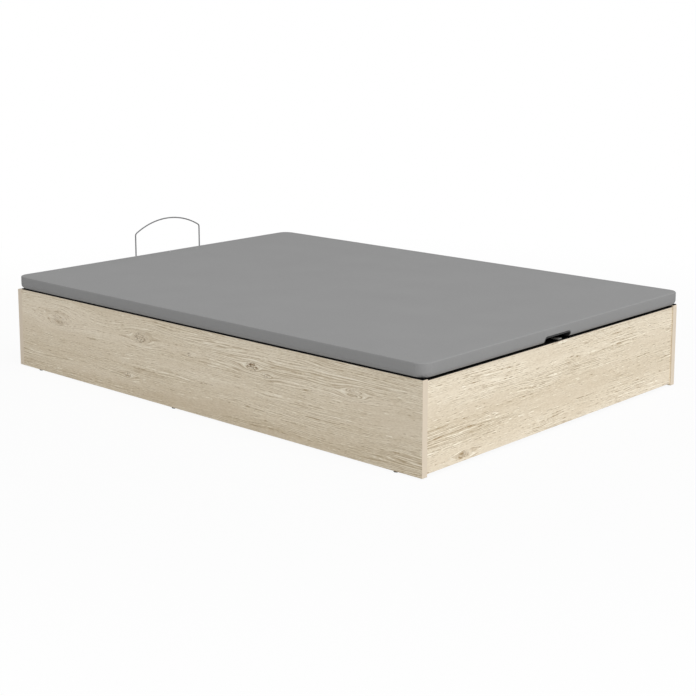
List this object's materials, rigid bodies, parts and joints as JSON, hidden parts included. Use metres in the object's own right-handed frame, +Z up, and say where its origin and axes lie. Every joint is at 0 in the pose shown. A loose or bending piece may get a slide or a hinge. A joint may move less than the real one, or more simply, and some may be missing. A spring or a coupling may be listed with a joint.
{
  "type": "lift-up storage bed base",
  "caption": "Box bed base with oak-look panels and a grey padded lid that lifts from the foot end on hinges and gas struts to reach the storage space inside.",
  "frame": {"origin": "on the floor under the middle of the bed", "axes": "+Z up, +Y from the foot end towards the head end, +X to the right seen from the foot end"},
  "size_m": [1.37, 1.9164, 0.467],
  "materials": {
    "panel_oak": "light oak melamine, fine horizontal grain, satin",
    "pine": "planed pine",
    "bottom_hardboard": "pale coated hardboard",
    "lid_fibreboard": "raw fibreboard",
    "frame_paint": "dark grey powder coat",
    "zinc_steel": "zinc plated",
    "bow_steel": "grey plated wire",
    "strut_paint": "black paint",
    "strut_chrome": "polished rod",
    "strut_nylon": "black nylon",
    "cup_plastic": "black moulded plastic",
    "glide_plastic": "black plastic",
    "strip_plastic": "white extruded plastic",
    "rest_rubber": "black foam rubber",
    "lid_fabric": "mid grey woven upholstery",
    "foam": "cut foam"
  },
  "bodies": {
    "base": {"side_panel_left": "panel_oak", "side_panel_right": "panel_oak", "foot_panel": "panel_oak", "head_panel": "panel_oak", "corner_brackets": "zinc_steel", "wood_screws": "zinc_steel", "cleat_left": "pine", "cleat_right": "pine", "cleat_foot": "pine", "cleat_head": "pine", "cleat_screws": "zinc_steel", "bottom_board_foot": "bottom_hardboard", "bottom_board_head": "bottom_hardboard", "joint_strip": "strip_plastic", "stretcher": "pine", "stretcher_dowels": "pine", "centre_foot": "glide_plastic", "floor_glides": "glide_plastic", "rest_strips_sides": "rest_rubber", "rest_strip_foot": "rest_rubber", "strut_base_plate_left": "zinc_steel", "strut_base_plate_right": "zinc_steel", "strut_base_clips": "zinc_steel", "hinge_lower_leaves": "zinc_steel", "hinge_pins": "zinc_steel", "hinge_panel_screws": "zinc_steel"},
    "lid": {"frame_rail_left": "frame_paint", "frame_rail_right": "frame_paint", "frame_rail_foot": "frame_paint", "frame_rail_head": "frame_paint", "frame_cross_rails": "frame_paint", "lid_board": "lid_fibreboard", "lid_foam": "foam", "edge_padding_strips": "foam", "lid_cover": "lid_fabric", "finger_cup": "cup_plastic", "cup_screws": "zinc_steel", "pull_tab_pin": "zinc_steel", "mattress_stop_bow": "bow_steel", "bow_sockets": "bow_steel", "bow_clamp_screws": "bow_steel", "strut_lid_bracket_left": "zinc_steel", "strut_lid_bracket_right": "zinc_steel", "lid_bracket_screws": "zinc_steel", "strut_lid_clips": "zinc_steel", "hinge_upper_leaves": "zinc_steel", "hinge_lid_screws": "zinc_steel"},
    "pull_tab": {"pull_tab": "cup_plastic"},
    "strut_cylinder_left": {"strut_tube_left": "strut_paint", "strut_gland_left": "strut_nylon", "strut_tube_eye_left": "strut_nylon"},
    "strut_rod_left": {"strut_rod_left": "strut_chrome", "strut_piston_left": "strut_nylon", "strut_rod_eye_left": "strut_nylon"},
    "strut_cylinder_right": {"strut_tube_right": "strut_paint", "strut_gland_right": "strut_nylon", "strut_tube_eye_right": "strut_nylon"},
    "strut_rod_right": {"strut_rod_right": "strut_chrome", "strut_piston_right": "strut_nylon", "strut_rod_eye_right": "strut_nylon"}
  },
  "joints": [
    {"name": "lid_hinge", "type": "hinge", "parent": "base", "child": "lid", "pos_m": [0, 0.9542, 0.2865], "axis": [-1, 0, 0], "range_deg": [0, 42]},
    {"name": "pull_tab_hinge", "type": "hinge", "parent": "lid", "child": "pull_tab", "pos_m": [-0.033, -0.909, 0.2938], "axis": [-1, 0, 0], "range_deg": [0, 12]},
    {"name": "strut_cylinder_left_pivot", "type": "hinge", "parent": "base", "child": "strut_cylinder_left", "pos_m": [-0.64, 0.82794, 0.0555], "axis": [-1, 0, 0], "range_deg": [0, 21]},
    {"name": "strut_rod_left_pivot", "type": "hinge", "parent": "lid", "child": "strut_rod_left", "pos_m": [-0.64, 0.69209, 0.262], "axis": [-1, 0, 0], "range_deg": [-21, 0]},
    {"name": "strut_cylinder_right_pivot", "type": "hinge", "parent": "base", "child": "strut_cylinder_right", "pos_m": [0.64, 0.82794, 0.0555], "axis": [-1, 0, 0], "range_deg": [0, 21]},
    {"name": "strut_rod_right_pivot", "type": "hinge", "parent": "lid", "child": "strut_rod_right", "pos_m": [0.64, 0.69209, 0.262], "axis": [-1, 0, 0], "range_deg": [-21, 0]}
  ],
  "couplings": [
    {"joint": "strut_cylinder_left_pivot", "follows": "lid_hinge", "ratio": 0.5},
    {"joint": "strut_rod_left_pivot", "follows": "lid_hinge", "ratio": -0.5},
    {"joint": "strut_cylinder_right_pivot", "follows": "lid_hinge", "ratio": 0.5},
    {"joint": "strut_rod_right_pivot", "follows": "lid_hinge", "ratio": -0.5}
  ]
}
